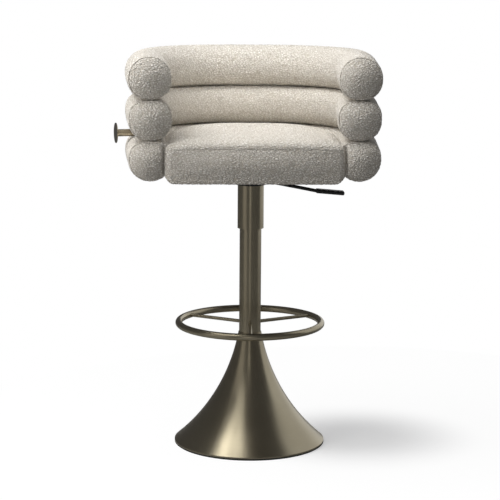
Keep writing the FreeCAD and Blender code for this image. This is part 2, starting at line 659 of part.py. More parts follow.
def brackets(name, extra):
    """Angle strips from the seat board to the lowest core tube, grown by extra on every side."""
    pieces = []
    half = "bracket_thickness / 2"
    for index, (x, y, yaw) in enumerate(bracket_places()):
        inward = f"(bracket_length + ({extra}))"
        foot = (f"({x}) - {inward} * cos({yaw})", f"({y}) - {inward} * sin({yaw})",
                f"{BOARD_TOP} - ({extra})")
        pieces.append(box(f"{name}_foot{index}", f"{inward} + {half} + ({extra})",
                          f"bracket_width + 2 * ({extra})", f"bracket_thickness + 2 * ({extra})",
                          foot, yaw=yaw))
        back = f"({half} + ({extra}))"
        post = (f"({x}) - {back} * cos({yaw})", f"({y}) - {back} * sin({yaw})", BOARD_TOP)
        pieces.append(box(f"{name}_post{index}", f"2 * {back}", f"bracket_width + 2 * ({extra})",
                          f"{BOLSTER_FIRST} - {BOARD_TOP}", post, yaw=yaw))
    return fuse(name, *pieces)


def wood_screws(name, shank, head):
    """Two screws down through each bracket into the seat board."""
    pieces = []
    strip_top = f"({BOARD_TOP} + bracket_thickness)"
    for index, (x, y, yaw) in enumerate(bracket_places()):
        for step in (0, 1):
            inward = f"(bracket_length - wood_screw_edge - {step} * wood_screw_spacing)"
            at_x = f"({x}) - {inward} * cos({yaw})"
            at_y = f"({y}) - {inward} * sin({yaw})"
            pieces.append(cylinder(f"{name}_shank{index}_{step}", shank,
                                   "wood_screw_depth + bracket_thickness",
                                   (at_x, at_y, f"{BOARD_TOP} - wood_screw_depth")))
            if head:
                pieces.append(cylinder(f"{name}_head{index}_{step}", head, "wood_screw_head_height",
                                       (at_x, at_y, strip_top)))
    return fuse(name, *pieces)


def frame_parts():
    envelopes = []
    for level, height in LEVELS.items():
        label = level.capitalize()
        outer = horseshoe(f"Core{label}", "core_radius", height, CORE_ARM)
        inner = horseshoe(f"CoreBore{label}", "core_radius - core_wall", height, f"{CORE_ARM} + bore_past_end")
        node(f"core_tube_{level}", cut(f"CoreTube{label}", outer, inner))
        envelopes.append(horseshoe(f"CoreSeat{label}", "core_radius", height, CORE_ARM))
    node("back_uprights", cut("Uprights", uprights("UprightRods", "upright_radius"), *envelopes))

    hole_radius = "wood_screw_radius + thread_gap"
    blank = cut("BracketSeated", brackets("BracketBlanks", "0"),
                horseshoe("BracketSeat", "core_radius", BOLSTER_FIRST, CORE_ARM))
    node("seat_brackets", cut("Brackets", blank, wood_screws("BracketHoles", hole_radius, None)))
    node("bracket_screws", wood_screws("BracketScrews", "wood_screw_radius", "wood_screw_head"))

    plugs, boards, screws, holes, bores = [], [], [], [], []
    for level, height in LEVELS.items():
        for side in (1, -1):
            tag = f"{level}{side}"
            board_end = f"{CORE_ARM} + end_board_thickness"
            plugs.append(along_arm(f"Plug_{tag}", side, height, f"{CORE_ARM} - plug_length",
                                   "plug_length", "core_radius - core_wall"))
            boards.append(along_arm(f"EndBoard_{tag}", side, height, CORE_ARM, "end_board_thickness",
                                    END_BOARD_RADIUS))
            for group, label, gap in ((screws, "EndScrew", "0"), (holes, "EndHole", "thread_gap")):
                group.append(along_arm(f"{label}_{tag}", side, height, f"{board_end} - end_screw_length",
                                       "end_screw_length", f"end_screw_radius + ({gap})"))
                group.append(along_arm(f"{label}Head_{tag}", side, height,
                                       f"{board_end} - end_screw_head_height",
                                       "end_screw_head_height", f"end_screw_head + ({gap})"))
            bores.append(along_arm(f"PlugHole_{tag}", side, height, f"{board_end} - end_screw_length",
                                   "end_screw_length", "end_screw_radius + thread_gap"))
    node("core_plugs", cut("Plugs", fuse("PlugBlanks", *plugs), *bores))
    node("end_boards", cut("EndBoards", fuse("EndBoardBlanks", *boards), *holes))
    node("end_screws", fuse("EndScrews", *screws))


# ---------------------------------------------------------------- side peg
def peg_parts():
    x, y = on_arm(-1, "upright_on_arm")
    lie = dict(yaw="peg_angle", pitch=-90)
    root = "peg_socket_length - peg_stud_length"
    neck = f"{PEG_LENGTH} - peg_disc_thickness - peg_flare"
    peg = turned("SidePeg", [
        (0, root), ("peg_stud_radius", root), ("peg_stud_radius", "peg_socket_length"),
        ("peg_radius", "peg_socket_length"), ("peg_radius", neck),
        ("peg_radius + peg_flare", f"{neck} + peg_flare"),
        ("peg_disc_radius", f"{neck} + peg_flare"), ("peg_disc_radius", PEG_LENGTH), (0, PEG_LENGTH)],
        {4: ("peg_flare", -1)})
    node("side_peg", place(peg, (x, y, LOWER_SEAM), **lie))
    socket = cylinder("PegSocketBlank", PEG_SOCKET_RADIUS, "peg_socket_length", (x, y, LOWER_SEAM), **lie)
    bore = cylinder("PegSocketBore", "peg_stud_radius + thread_gap", PEG_LENGTH, (x, y, LOWER_SEAM), **lie)
    post = cylinder("PegSocketPost", "upright_radius", f"4 * {PEG_SOCKET_RADIUS}",
                    (x, y, f"{LOWER_SEAM} - 2 * {PEG_SOCKET_RADIUS}"))
    node("peg_socket", cut("PegSocket", socket, bore, post))


def peg_space(name):
    """The room that the peg and its socket take in the upholstery."""
    x, y = on_arm(-1, "upright_on_arm")
    lie = dict(yaw="peg_angle", pitch=-90)
    return fuse(name,
                cylinder(f"{name}_rod", "peg_radius + foam_gap", PEG_LENGTH, (x, y, LOWER_SEAM), **lie),
                cylinder(f"{name}_socket", f"{PEG_SOCKET_RADIUS} + foam_gap", "peg_socket_length + foam_gap",
                         (x, y, LOWER_SEAM), **lie))


# ---------------------------------------------------------------- upholstery and seat board
def bolster_blank(name, level, extra):
    """One bolster's outside, with rounded arm ends, grown by extra."""
    solid = horseshoe(name, f"bolster_radius + ({extra})", level, f"arm_length + ({extra})")
    doc.recompute()
    tip = number(on_arm(1, f"arm_length + ({extra})")[1])

    def round_the_end(edge):
        return all(v.Point.y < tip + 0.5 * number("bolster_radius") for v in edge.Vertexes) and \
            edge.Curve.TypeId == "Part::GeomCircle" and abs(edge.CenterOfMass.y - tip) < 1

    return rounded(f"{name}_rounded", solid, "bolster_end_round", round_the_end)


def bolster_parts():
    for level, height in LEVELS.items():
        label = level.capitalize()
        low = f"{BOLSTER_PITCH} / 2" if level != "bottom" else "bolster_radius + slab_margin"
        high = f"{BOLSTER_PITCH} / 2" if level != "top" else "bolster_radius + slab_margin"
        slab = box(f"Slab{label}", WELL_OUT, WELL_OUT, f"({low}) + ({high})",
                   (-WELL_OUT / 2, "0", f"{height} - ({low})"))
        outside = common(f"Pressed{label}", bolster_blank(f"Bolster{label}", height, "0"), slab)
        tools = [horseshoe(f"CoreRoom{label}", "core_radius + foam_gap", height, CORE_ARM),
                 uprights(f"UprightRoom{label}", "upright_radius + foam_gap")]
        for side in (1, -1):
            tools.append(along_arm(f"EndRoom{label}{side}", side, height, f"{CORE_ARM} - foam_gap",
                                   "end_board_thickness + 2 * foam_gap", f"{END_BOARD_RADIUS} + foam_gap"))
        if level != "top":
            tools.append(peg_space(f"PegRoom{label}"))
        if level == "bottom":
            tools.append(brackets("BracketRoom", "foam_gap"))
        node(f"bolster_{level}", cut(f"Cushioned{label}", outside, *tools))


def seat_parts():
    board = horseshoe_plate("Board", BOARD_INSET, BOARD_FRONT, "board_bottom", "board_thickness")
    bolt_holes = seat_bolt_group("BoardHole", "plate_bolt_radius + thread_gap", "board_bottom",
                                 "board_thickness")
    nut_holes = seat_bolt_group("NutHole", "nut_barrel + thread_gap", f"{BOARD_TOP} - nut_depth", "nut_depth")
    nut_rooms = seat_bolt_group("NutRoom", "nut_radius + thread_gap", f"{BOARD_TOP} - nut_flange",
                                "nut_flange")
    screw_holes = wood_screws("BoardScrewHoles", "wood_screw_radius + thread_gap", None)
    node("seat_board", cut("BoardDrilled", board, *bolt_holes, *nut_holes, *nut_rooms, screw_holes))

    barrels = seat_bolt_group("NutBarrel", "nut_barrel", f"{BOARD_TOP} - nut_depth", "nut_depth")
    flanges = seat_bolt_group("NutFlange", "nut_radius", f"{BOARD_TOP} - nut_flange", "nut_flange")
    nut_bores = seat_bolt_group("NutBore", "plate_bolt_radius + thread_gap", f"{BOARD_TOP} - nut_depth",
                                "nut_depth")
    node("tee_nuts", cut("TeeNuts", fuse("TeeNutBlanks", *barrels, *flanges), *nut_bores))

    cover = horseshoe_plate("Cover", f"{BOARD_INSET} + cover_inset", f"{BOARD_FRONT} - cover_inset",
                            COVER_Z, "cover_thickness")
    cover_holes = seat_bolt_group("CoverHole", "plate_bolt_radius + thread_gap", COVER_Z, "cover_thickness")
    middle = cylinder("CoverMouth", f"{PAN_RADIUS} - pan_wall", "cover_thickness", (0, 0, COVER_Z))
    node("dust_cover", cut("CoverCut", cover, middle, *cover_holes))

    pad = horseshoe_plate("CushionPad", "bolster_radius - cushion_tuck", CUSHION_FRONT, CUSHION_BOTTOM,
                          f"{CUSHION_TOP} - {CUSHION_BOTTOM}", "cushion_corner", toe="0")
    top = number(CUSHION_TOP)
    soft = rounded("CushionRounded", pad, "cushion_round",
                   lambda edge: all(abs(v.Point.z - top) < 0.01 for v in edge.Vertexes))
    room = horseshoe_plate("BoardRoom", f"{BOARD_INSET} - foam_gap", f"{BOARD_FRONT} + foam_gap",
                           f"{CUSHION_BOTTOM} - cushion_room_depth",
                           f"{BOARD_TOP} + foam_gap - {CUSHION_BOTTOM} + cushion_room_depth",
                           corner="board_corner + foam_gap")
    screws = wood_screws("ScrewRoom", "wood_screw_head + foam_gap", "wood_screw_head + foam_gap")
    node("seat_cushion", cut("Cushion", soft, room, screws, brackets("CushionBracketRoom", "foam_gap"),
                             bolster_blank("CushionBolsterRoom", LEVELS["bottom"], "foam_gap")))


# ---------------------------------------------------------------- build, check and write
base_parts()
footrest_parts()
gas_spring_parts()
seat_plate_parts()
lever_parts()
frame_parts()
peg_parts()
bolster_parts()
seat_parts()
doc.recompute()

for item in doc.Objects:
    if "Invalid" in item.State or "Error" in item.State:
        raise RuntimeError(f"{item.Name} ({item.Label}) failed: {item.State}")
for name, item in PARTS.items():
    if item.Shape.isNull() or not item.Shape.isValid() or not item.Shape.Solids:
        raise RuntimeError(f"{name} has no valid solid")

os.makedirs("parts", exist_ok=True)
for name, item in PARTS.items():
    item.Shape.exportStep(f"parts/{name}.step")
    size = item.Shape.BoundBox
    print(f"{name:18s} solids {len(item.Shape.Solids):2d}  volume {item.Shape.Volume / 1000:9.1f} cm3  "
          f"z {size.ZMin:7.1f} to {size.ZMax:7.1f}")
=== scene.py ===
"""Looks of the swivelling bar stool: boucle upholstery, brushed brass, lever, stage and camera."""
import itertools
import math

import bpy
import numpy as np
from mathutils import Matrix, Vector


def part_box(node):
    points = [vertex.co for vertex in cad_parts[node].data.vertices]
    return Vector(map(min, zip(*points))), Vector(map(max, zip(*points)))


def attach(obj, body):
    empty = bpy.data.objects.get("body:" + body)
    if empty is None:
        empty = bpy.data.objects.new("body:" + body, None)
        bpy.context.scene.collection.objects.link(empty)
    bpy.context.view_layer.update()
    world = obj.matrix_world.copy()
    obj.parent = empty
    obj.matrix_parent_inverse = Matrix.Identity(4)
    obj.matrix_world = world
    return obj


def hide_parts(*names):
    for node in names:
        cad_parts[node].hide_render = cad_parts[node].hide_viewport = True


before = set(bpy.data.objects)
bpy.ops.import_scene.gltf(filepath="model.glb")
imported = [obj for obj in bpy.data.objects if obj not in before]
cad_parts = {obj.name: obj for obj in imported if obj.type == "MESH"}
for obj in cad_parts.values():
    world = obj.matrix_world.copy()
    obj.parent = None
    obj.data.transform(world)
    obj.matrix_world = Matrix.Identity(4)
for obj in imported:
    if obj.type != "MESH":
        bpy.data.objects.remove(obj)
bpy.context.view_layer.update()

MM = 0.001

# ---------------------------------------------------------------- sizes, in metres
TUB_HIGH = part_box("bolster_middle")[1]
CORE_RADIUS = 12.5 * MM
LEVELS = {}
for level in ("bottom", "middle", "top"):
    core_low, core_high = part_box(f"core_tube_{level}")
    LEVELS[level] = (core_low.z + core_high.z) / 2
BOLSTER_PITCH = LEVELS["middle"] - LEVELS["bottom"]
BOLSTER_RADIUS = TUB_HIGH.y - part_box("core_tube_middle")[1].y + CORE_RADIUS
BACK_LINE = TUB_HIGH.y - BOLSTER_RADIUS
BACK_FLAT = 38 * MM             # half of the straight stretch across the back
CORNER_RADIUS = TUB_HIGH.x - BOLSTER_RADIUS - BACK_FLAT
CORNER_Y = BACK_LINE - CORNER_RADIUS
TOE_IN = math.radians(3.1)      # how far the arms close in toward their tips
ARM_LENGTH = 193.5 * MM         # the straight stretch of each arm
BEND_LENGTH = CORNER_RADIUS * (math.pi / 2 + TOE_IN)
LINE_LENGTH = 2 * (ARM_LENGTH + BEND_LENGTH + BACK_FLAT)
CAP_SEAM = 45 * MM              # radius of the sewn circle on each end
CAP_EDGE = 11 * MM              # how far back the end starts to round
CAP_DOME = 14 * MM              # how far the stuffed end stands out
SEAM_DEPTH = 1.8 * MM           # how deep the sewn circle is drawn in
CONTACT_GAP = 0.4 * MM          # left between two bolsters, on each side of their contact
SAG = 3.5 * MM                  # how far each bolster sinks into the one below it

CUSHION_LOW, CUSHION_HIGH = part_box("seat_cushion")
BOARD_LOW, BOARD_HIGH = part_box("seat_board")
CUSHION_CORNER = 17 * MM        # rounding of the cushion's front corners in plan
LIP_BACK = CUSHION_LOW.y + 12 * MM   # ahead of this the cushion's corners lap over the lower caps
CUSHION_CROWN = 8 * MM          # how far the middle of the top rises above the CAD's flat top
CROWN_EDGE = 0.89               # share of the way out to the rim where that rise starts
EDGE_DROP = 1.6 * MM            # how far below the flat top it starts
SIDE_FALL = 11 * MM             # how much lower the top is along the arms
FRONT_BULGE = 8 * MM            # how far the middle of the front face swells ahead of its corners
LOWER_CORNER = 24 * MM          # rounding of the front face's lower corners
SEAM_DROP = 26 * MM             # how far the seam under the front edge is below the top
BOARD_GAP = 0.6 * MM            # between the hem and the board
HEM_FRONT = BOARD_LOW.y - CUSHION_LOW.y - BOARD_GAP
HEM_SIDE = CUSHION_HIGH.x - BOARD_HIGH.x - BOARD_GAP
HEM_RISE = BOARD_HIGH.z + BOARD_GAP


# ---------------------------------------------------------------- mesh helpers
def eased(share):
    """A share held between 0 and 1 that leaves both ends smoothly."""
    share = np.clip(share, 0, 1)
    return share * share * (3 - 2 * share)


def coordinates(mesh):
    flat = np.empty(len(mesh.vertices) * 3, np.float32)
    mesh.vertices.foreach_get("co", flat)
    return flat.reshape(-1, 3).astype(float)


def set_coordinates(mesh, points):
    mesh.vertices.foreach_set("co", np.asarray(points, np.float32).ravel())
    mesh.update()


def vertex_normals(mesh):
    flat = np.empty(len(mesh.vertices) * 3, np.float32)
    mesh.vertex_normals.foreach_get("vector", flat)
    return flat.reshape(-1, 3).astype(float)


def ring_mesh(name, rings, first=None, last=None):
    """A closed surface through rings of points, shut by a fan to a first and a last point."""
    around = len(rings[0])
    points = [tuple(point) for ring in rings for point in ring]
    faces = []
    for row in range(len(rings) - 1):
        for step in range(around):
            here, after = row * around + step, row * around + (step + 1) % around
            faces.append((here, after, after + around, here + around))
    for point, row, flip in ((first, 0, True), (last, len(rings) - 1, False)):
        if point is None:
            continue
        centre = len(points)
        points.append(tuple(point))
        for step in range(around):
            here, after = row * around + step, row * around + (step + 1) % around
            faces.append((after, here, centre) if flip else (here, after, centre))
    mesh = bpy.data.meshes.new(name)
    mesh.from_pydata(points, [], faces)
    mesh.update()
    obj = bpy.data.objects.new(name, mesh)
    bpy.context.scene.collection.objects.link(obj)
    return obj


def applied(obj):
    """Replace an object's mesh by what its modifiers make of it."""
    bpy.context.view_layer.update()
    graph = bpy.context.evaluated_depsgraph_get()
    mesh = bpy.data.meshes.new_from_object(obj.evaluated_get(graph), preserve_all_data_layers=True,
                                           depsgraph=graph)
    obj.modifiers.clear()
    obj.data = mesh
    return obj


def subdivided(obj, levels):
    modifier = obj.modifiers.new("Smooth", "SUBSURF")
    modifier.levels = modifier.render_levels = levels
    return applied(obj)


def shade_smooth(obj):
    obj.data.shade_smooth()
    return obj


# ---------------------------------------------------------------- the horseshoe line
def centreline(along):
    """Points and unit tangents of the bolsters' centreline, from the -X tip round to the +X tip."""
    along = np.asarray(along, float)
    side = np.where(along < LINE_LENGTH / 2, -1.0, 1.0)
    from_tip = np.minimum(along, LINE_LENGTH - along)
    on_arm = from_tip <= ARM_LENGTH
    on_bend = from_tip <= ARM_LENGTH + BEND_LENGTH
    angle = (from_tip - ARM_LENGTH) / CORNER_RADIUS - TOE_IN
    before = ARM_LENGTH - from_tip
    arm_x = BACK_FLAT + CORNER_RADIUS * math.cos(TOE_IN) - before * math.sin(TOE_IN)
    arm_y = CORNER_Y - CORNER_RADIUS * math.sin(TOE_IN) - before * math.cos(TOE_IN)
    flat_x = LINE_LENGTH / 2 - from_tip
    x = np.where(on_arm, arm_x, np.where(on_bend, BACK_FLAT + CORNER_RADIUS * np.cos(angle), flat_x))
    y = np.where(on_arm, arm_y, np.where(on_bend, CORNER_Y + CORNER_RADIUS * np.sin(angle), BACK_LINE))
    turn = np.where(on_arm, math.pi / 2 - TOE_IN, np.where(on_bend, math.pi / 2 + angle, math.pi))
    points = np.stack([side * x, y], -1)
    tangents = np.stack([-np.cos(turn), -side * np.sin(turn)], -1)
    return points, tangents


def cap_profile():
    """(share of the section, distance out of the tip's plane), from the roll's side to its middle."""
    seam = CAP_SEAM / BOLSTER_RADIUS
    rows = []
    for degrees in (18, 42, 64, 84):        # the rounded edge outside the seam
        turn = math.radians(degrees)
        rows.append((seam + (1 - seam) * math.cos(turn), CAP_EDGE * (math.sin(turn) - 1)))
    rows.append((seam - 0.015, -SEAM_DEPTH))
    for share in (0.95, 0.87, 0.72, 0.54, 0.35, 0.16):      # the stuffed dome inside it
        rows.append((seam * share, CAP_DOME * (1 - share ** 2.1)))
    return rows


def section(pressed_below, pressed_above, around):
    """Offsets (out, up) round one bolster: it sags onto the one below and is flattened by the one above."""
    angles = 2 * math.pi * np.arange(around) / around
    up = np.sin(angles)
    below = BOLSTER_PITCH / 2 + SAG - CONTACT_GAP if pressed_below else BOLSTER_RADIUS
    above = BOLSTER_PITCH / 2 - SAG - CONTACT_GAP if pressed_above else BOLSTER_RADIUS
    tall = np.where(up > 0, above, below)
    loose, lain_on, resting = 2.05, 2.9, 2.3    # 2 is a circle, and more is squarer
    power = np.where(up > 0, lain_on if pressed_above else loose, resting if pressed_below else loose)
    shape = np.abs(np.cos(angles) / BOLSTER_RADIUS) ** power + np.abs(up / tall) ** power
    reach = shape ** (-1 / power)
    return reach * np.cos(angles), reach * up


def bolster_base(level, around=38, spacing=7.9 * MM):
    """The plain closed form of one bolster, before it is stuffed."""
    height = LEVELS[level]
    out, up = section(level != "bottom", level != "top", around)
    count = round((LINE_LENGTH - 2 * CAP_EDGE) / spacing)
    stations = [(along, 1.0, 0.0) for along in np.linspace(CAP_EDGE, LINE_LENGTH - CAP_EDGE, count)]
    start = [(0.0, share, beyond) for share, beyond in reversed(cap_profile())]
    end = [(LINE_LENGTH, share, beyond) for share, beyond in cap_profile()]
    rings = []
    for along, share, beyond in start + stations + end:
        (point,), (tangent,) = centreline([along])
        outward = np.array([-tangent[1], tangent[0]])
        centre = point + tangent * beyond * (1 if along > 0 else -1)
        ring = np.empty((around, 3))
        ring[:, :2] = centre + np.outer(out * share, outward)
        ring[:, 2] = height + up * share
        rings.append(ring)
    ends = []
    for along, way in ((0.0, -1), (LINE_LENGTH, 1)):
        (point,), (tangent,) = centreline([along])
        ends.append((*(point + tangent * way * CAP_DOME), height))
    return ring_mesh(f"boucle_bolster_{level}", rings, *ends)


# ---------------------------------------------------------------- soft goods
def swell(obj, pressure, limit, frames=14):
    """Inflate a closed form with a cloth simulation, moving no point further than the limit."""
    before = coordinates(obj.data)
    modifier = obj.modifiers.new("Cloth", "CLOTH")
    settings = modifier.settings
    settings.quality = 4
    settings.mass = 0.25
    settings.tension_stiffness = settings.compression_stiffness = 18
    settings.shear_stiffness = 8
    settings.bending_stiffness = 0.6
    settings.use_pressure = True
    settings.uniform_pressure_force = pressure
    settings.effector_weights.gravity = 0
    modifier.collision_settings.use_collision = False
    modifier.point_cache.frame_end = frames
    scene = bpy.context.scene
    for step in range(1, frames + 1):
        scene.frame_set(step)
    evaluated = obj.evaluated_get(bpy.context.evaluated_depsgraph_get())
    after = coordinates(evaluated.data)
    obj.modifiers.clear()
    scene.frame_set(1)
    move = after - before
    move -= move.mean(0)
    length = np.linalg.norm(move, axis=1, keepdims=True)
    set_coordinates(obj.data, before + move * np.minimum(1, limit / np.maximum(length, 1e-9)))
    return obj


def scattered(cells, salt):
    """Repeatable numbers from 0 to 1 for whole-number cells, by mixing with large primes."""
    x, y, z = (cells[:, axis].astype(np.uint64) for axis in range(3))
    mixed = x * np.uint64(73856093) ^ y * np.uint64(19349663) ^ z * np.uint64(83492791)
    mixed = (mixed + np.uint64(salt)) * np.uint64(2654435761) & np.uint64(0xFFFFFFFF)
    mixed = (mixed ^ mixed >> np.uint64(15)) * np.uint64(2246822519) & np.uint64(0xFFFFFFFF)
    return (mixed ^ mixed >> np.uint64(13)).astype(float) / 2 ** 32


def cell_distances(places, jitter=0.85):
    """Distances from each place to the nearest and second nearest of the scattered loop centres."""
    keep_positive = 4096
    beyond_all = 9.0
    cells = np.floor(places).astype(np.int64) + keep_positive
    inside = places - np.floor(places)
    nearest = np.full(len(places), beyond_all)
    second = np.full(len(places), beyond_all)
    for shift in itertools.product((-1, 0, 1), repeat=3):
        near = cells + np.array(shift)
        centre = np.stack([scattered(near, salt) for salt in (11, 47, 101)], -1)
        centre = np.array(shift) + 0.5 + jitter * (centre - 0.5)
        gap = np.linalg.norm(centre - inside, axis=1)
        second = np.minimum(second, np.maximum(nearest, gap))
        nearest = np.minimum(nearest, gap)
    return nearest, second


def nubby(obj, loop=4.6 * MM, height=1.2 * MM):
    """Raise the boucle's loops on a fine mesh and keep their height as the attribute 'nub'."""
    mesh = obj.data
    points, normals = coordinates(mesh), vertex_normals(mesh)
    x, y, z = (points / loop).T
    lean, wander = 0.35, 0.35
    places = np.column_stack([0.7 * x, 0.8 * y, z - lean * x])
    places = places + wander * np.sin(0.9 * places[:, (1, 2, 0)] + np.array([0.3, 1.7, 4.1]))
    nearest, second = cell_distances(places)
    groove = 0.5                    # how far from its edge a loop reaches full height, in loops
    domed = 1 - 0.45 * nearest
    raised = eased((second - nearest) / groove) * domed
    layer = mesh.attributes.new("nub", "FLOAT", "POINT")
    layer.data.foreach_set("value", raised.astype(np.float32))
    set_coordinates(mesh, points + normals * (height * (raised - 0.5))[:, None])
    return obj


def nearest_on_line(points, count=1500, block=4000):
    """For points in plan: the nearest of many places on the horseshoe line, and how far along it is."""
    samples = np.linspace(0, LINE_LENGTH, count)
    line, _ = centreline(samples)
    best = np.empty(len(points), int)
    for start in range(0, len(points), block):
        some = points[start:start + block]
        gaps = ((some[:, None, :] - line[None, :, :]) ** 2).sum(-1)
        best[start:start + block] = gaps.argmin(1)
    return line[best], samples[best]


def clear_of_bolster(points, height, gap):
    """Move points that lie inside the bolster at this height out onto its surface."""
    flat = points[:, :2]
    near, along = nearest_on_line(flat)
    away = flat - near
    reach = np.hypot(np.linalg.norm(away, axis=1), points[:, 2] - height)
    beside = (along > 0) & (along < LINE_LENGTH) & (points[:, 1] > LIP_BACK)
    inside = beside & (reach < BOLSTER_RADIUS + gap)
    factor = np.where(inside, (BOLSTER_RADIUS + gap) / np.maximum(reach, 1e-6), 1.0)
    moved = np.empty_like(points)
    moved[:, :2] = near + away * factor[:, None]
    moved[:, 2] = height + (points[:, 2] - height) * factor
    return moved


def press_inner_caps(points):
    """Flatten the ends of the lowest bolster where the cushion's corners lap over them."""
    margin, blend = 1 * MM, 5 * MM
    kept = eased((np.abs(points[:, 0]) - CUSHION_HIGH.x - margin) / blend)
    pressed = LIP_BACK + (points[:, 1] - LIP_BACK) * kept
    moved = points.copy()
    moved[:, 1] = np.where(points[:, 1] < LIP_BACK, pressed, points[:, 1])
    return moved


def cushion_outline(spacing=8.4 * MM):
    """Plan points round the cushion, anticlockwise from the middle of the front, with normals."""
    half = CUSHION_HIGH.x
    front = CUSHION_LOW.y
    bend = half - BACK_FLAT
    corner = CUSHION_CORNER
    runs = [
        ("line", (0, front), (half - corner, front)),
        ("arc", (half - corner, front + corner), corner, -90, 90),
        ("line", (half, front + corner), (half, CORNER_Y)),
        ("arc", (BACK_FLAT, CORNER_Y), bend, 0, 90),
        ("line", (BACK_FLAT, CORNER_Y + bend), (-BACK_FLAT, CORNER_Y + bend)),
        ("arc", (-BACK_FLAT, CORNER_Y), bend, 90, 90),
        ("line", (-half, CORNER_Y), (-half, front + corner)),
        ("arc", (-half + corner, front + corner), corner, 180, 90),
        ("line", (-half + corner, front), (0, front)),
    ]
    points, normals = [], []
    for kind, first, *rest in runs:
        if kind == "line":
            start, end = np.array(first, float), np.array(rest[0], float)
            length = np.linalg.norm(end - start)
            steps = max(round(length / spacing), 1)
            way = (end - start) / length
            for step in range(steps):
                points.append(start + (end - start) * step / steps)
                normals.append((way[1], -way[0]))
        else:
            radius, begin, sweep = rest
            steps = max(round(radius * math.radians(sweep) / spacing), 8)
            for step in range(steps):
                angle = math.radians(begin + sweep * step / steps)
                normal = np.array([math.cos(angle), math.sin(angle)])
                points.append(np.array(first) + radius * normal)
                normals.append(normal)
    return np.array(points), np.array(normals)


def cushion_base():
    """The plain closed form of the seat cushion: a hem round the board, upright sides, a crown."""
    outline, normal = cushion_outline()
    low, unshaded_share = CUSHION_LOW.z, CUSHION_HIGH.z
    middle = np.array([0.0, (CUSHION_LOW.y + CUSHION_HIGH.y) / 2])
    ahead = np.clip(-normal[:, 1], 0, 1)
    hem = HEM_FRONT * ahead + HEM_SIDE * (1 - ahead)
    bulge = FRONT_BULGE * ahead * (1 - (outline[:, 0] / CUSHION_HIGH.x) ** 2)
    tuck_start, tuck_blend = 30 * MM, 18 * MM       # behind this the hem is tucked in over the board
    tucked = eased((outline[:, 1] - (CUSHION_LOW.y + tuck_start)) / tuck_blend)
    into_corner = np.clip(1 - (CUSHION_HIGH.x - np.abs(outline[:, 0])) / LOWER_CORNER, 0, 1)
    lift = LOWER_CORNER * (1 - np.sqrt(1 - into_corner ** 2))

    rows = []

    def row(plan, z):
        rows.append((plan, np.full(len(outline), z)))

    rim = outline - normal * hem[:, None]
    for share in (0.35, 0.7):               # flat on the board, then down round its edge
        row(middle + (rim - middle) * share, HEM_RISE)
    for share, z in ((1.0, HEM_RISE), (1.0, low + 4 * MM), (0.9, low + 1.2 * MM), (0.6, low)):
        inward = np.maximum(hem * share, 0)
        row(outline - normal * inward[:, None], z)
    lower_edge = ((3.4, 0.5), (1.2, 2.4), (0.3, 4.6), (0.9, 5.6), (0.2, 6.8), (0.0, 9.5), (0.0, 13.5))
    for inward, rise in lower_edge:         # mm in from the outline and up: a round edge with a seam
        drawn = np.minimum(inward * MM, 0.6 * hem)
        row(outline + normal * (0.5 * bulge - drawn)[:, None], low + rise * MM)
    edge_top = low + lower_edge[-1][1] * MM
    tall = unshaded_share - SEAM_DROP - edge_top
    for share in (0.14, 0.32, 0.5, 0.68, 0.86):     # the swelling side
        swelling = math.sin(math.pi * share)
        out = bulge * (0.5 + 0.5 * swelling) + 1.0 * MM * swelling
        row(outline + normal * out[:, None], edge_top + share * tall)
    upper_edge = ((0.2, 24.6), (0.7, 23.4), (0.2, 22.2), (0.9, 18.4), (2.8, 13.6), (6.2, 9.6))
    for inward, drop in upper_edge:         # mm in from the outline and down: a seam, then rounding over
        drawn = inward * MM - 0.5 * bulge
        row(outline - normal * drawn[:, None], unshaded_share - drop * MM)
    rim = rows[-1][0]
    for share, drop in ((0.97, 6.4 * MM), (0.935, 3.9 * MM), (CROWN_EDGE, EDGE_DROP)):
        row(middle + (rim - middle) * share, unshaded_share - drop)
    for share in (0.83, 0.75, 0.66, 0.56, 0.45, 0.34, 0.23, 0.12):      # the crown
        rise = (CUSHION_CROWN + EDGE_DROP) * (1 - (share / CROWN_EDGE) ** 2.2) - EDGE_DROP
        row(middle + (rim - middle) * share, unshaded_share + rise)
    rings = []
    corner_room = 8 * MM                    # height over which the lifted rows of a corner spread
    for plan, z in rows:
        share = np.clip((z - low) / LOWER_CORNER, 0, 1)
        lifted = np.where(z < HEM_RISE, z + (HEM_RISE - z) * tucked, z)
        cornered = np.minimum(z + lift * (1 - share), np.maximum(z, HEM_RISE + corner_room * share))
        sideways = np.abs(plan[:, 0]) / CUSHION_HIGH.x
        fall = SIDE_FALL * sideways ** 5 * np.clip((z - low) / (unshaded_share - low), 0, 1) ** 3
        rings.append(np.column_stack([plan, np.maximum(lifted, cornered) - fall]))
    return ring_mesh("boucle_cushion", rings, (*middle, HEM_RISE), (*middle, unshaded_share + CUSHION_CROWN))


def upholster():
    """Stuff the three bolsters and the cushion, and let them stand for their CAD pieces."""
    cloth = boucle_material()
    pieces = []
    for level in LEVELS:
        roll = swell(bolster_base(level), pressure=2.5, limit=1.5 * MM)
        subdivided(roll, 2)
        if level == "bottom":
            set_coordinates(roll.data, press_inner_caps(coordinates(roll.data)))
        nubby(roll)
        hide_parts(f"bolster_{level}")
        pieces.append(roll)
    cushion = swell(cushion_base(), pressure=3.0, limit=3 * MM)
    subdivided(cushion, 2)
    points = clear_of_bolster(coordinates(cushion.data), LEVELS["bottom"], gap=0.8 * MM)
    set_coordinates(cushion.data, points)
    nubby(cushion)
    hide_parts("seat_cushion")
    pieces.append(cushion)
    for piece in pieces:
        shade_smooth(piece)
        piece.data.materials.append(cloth)
        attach(piece, "seat")


# ---------------------------------------------------------------- materials
def fresh(name):
    material = bpy.data.materials.new(name)
    material.use_nodes = True
    tree = material.node_tree
    return material, tree, tree.nodes["Principled BSDF"]


